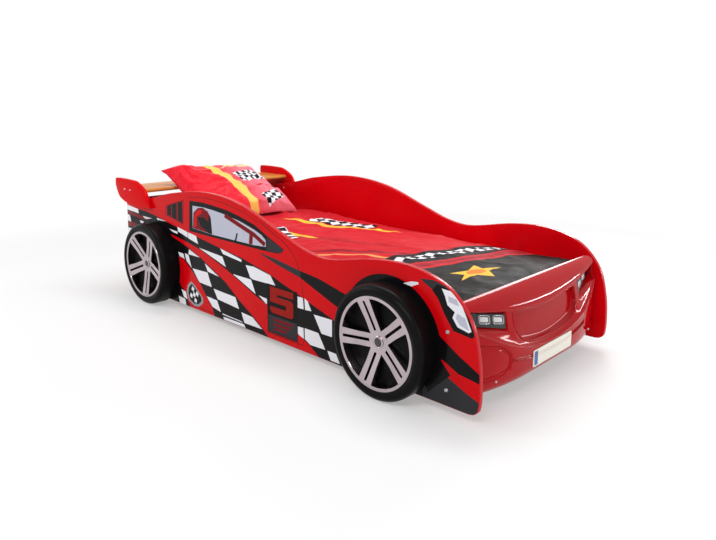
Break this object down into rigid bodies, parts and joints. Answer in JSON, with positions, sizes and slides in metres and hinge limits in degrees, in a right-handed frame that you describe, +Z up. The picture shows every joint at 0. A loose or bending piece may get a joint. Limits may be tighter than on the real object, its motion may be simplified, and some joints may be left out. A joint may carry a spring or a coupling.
{
  "type": "children's car bed",
  "caption": "Low child's bed shaped as a racing car: wave-topped side panels, dummy wheels, a moulded bumper with headlights, a rear wing, and a slatted base under mattress, duvet and pillow.",
  "frame": {"origin": "on the floor under the middle of the bed's outer box", "axes": "+X towards the bonnet at the foot end, +Y to the car's left, +Z up"},
  "size_m": [2.286, 1.11, 0.656],
  "materials": {
    "panel_red": "18 mm fibreboard, printed and lacquered red, glossy",
    "board_red": "fibreboard faced in red, satin",
    "fin_red": "fibreboard, lacquered red, glossy",
    "wing_amber": "fibreboard, clear amber gloss",
    "tyre_black": "thermoformed sheet, glossy",
    "rim_plated": "metallised, mirror-like",
    "cap_dark": "glossy",
    "bumper_red": "thermoformed sheet, high gloss",
    "headlight_black": "glossy",
    "lamp_white": "glossy, slightly frosted",
    "plate_white": "satin",
    "former_board": "raw fibreboard",
    "pine": "planed softwood",
    "slat_birch": "laminated birch, clear lacquer",
    "steel_grey": "powder coated",
    "zinc": "zinc plated",
    "rubber_black": "matt",
    "glide_plastic": "matt",
    "strap_web": "woven tape",
    "mattress_white": "quilted cotton ticking",
    "duvet_print": "printed cotton satin",
    "pillow_print": "printed cotton satin"
  },
  "bodies": {
    "root": {"side_panel_right": "panel_red", "side_panel_left": "panel_red", "headboard": "board_red", "footboard": "board_red", "panel_glides": "glide_plastic", "spoiler_wing": "wing_amber", "spoiler_fin_right": "fin_red", "spoiler_fin_left": "fin_red", "tyre_front_right": "tyre_black", "rim_front_right": "rim_plated", "hub_cap_front_right": "cap_dark", "tyre_front_left": "tyre_black", "rim_front_left": "rim_plated", "hub_cap_front_left": "cap_dark", "tyre_rear_right": "tyre_black", "rim_rear_right": "rim_plated", "hub_cap_rear_right": "cap_dark", "tyre_rear_left": "tyre_black", "rim_rear_left": "rim_plated", "hub_cap_rear_left": "cap_dark", "bumper_shell": "bumper_red", "bumper_former_right": "former_board", "bumper_former_left": "former_board", "bumper_batten": "pine", "headlight_right": "headlight_black", "headlight_left": "headlight_black", "lamps_right": "lamp_white", "lamps_left": "lamp_white", "number_plate": "plate_white", "slat_rail_right": "pine", "slat_rail_left": "pine", "centre_beam": "pine", "beam_hangers": "steel_grey", "centre_leg_head": "steel_grey", "centre_leg_foot": "steel_grey", "leg_pads": "rubber_black", "slat_straps": "strap_web", "panel_bolts": "zinc", "barrel_nuts": "zinc", "fin_screws": "zinc", "wheel_screws": "zinc", "bumper_screws": "zinc", "base_screws": "zinc", "mattress": "mattress_white", "duvet": "duvet_print", "pillow": "pillow_print", "slat_01": "slat_birch", "slat_02": "slat_birch", "slat_03": "slat_birch", "slat_04": "slat_birch", "slat_05": "slat_birch", "slat_06": "slat_birch", "slat_07": "slat_birch", "slat_08": "slat_birch", "slat_09": "slat_birch", "slat_10": "slat_birch", "slat_11": "slat_birch", "slat_12": "slat_birch", "slat_13": "slat_birch"}
  },
  "joints": []
}
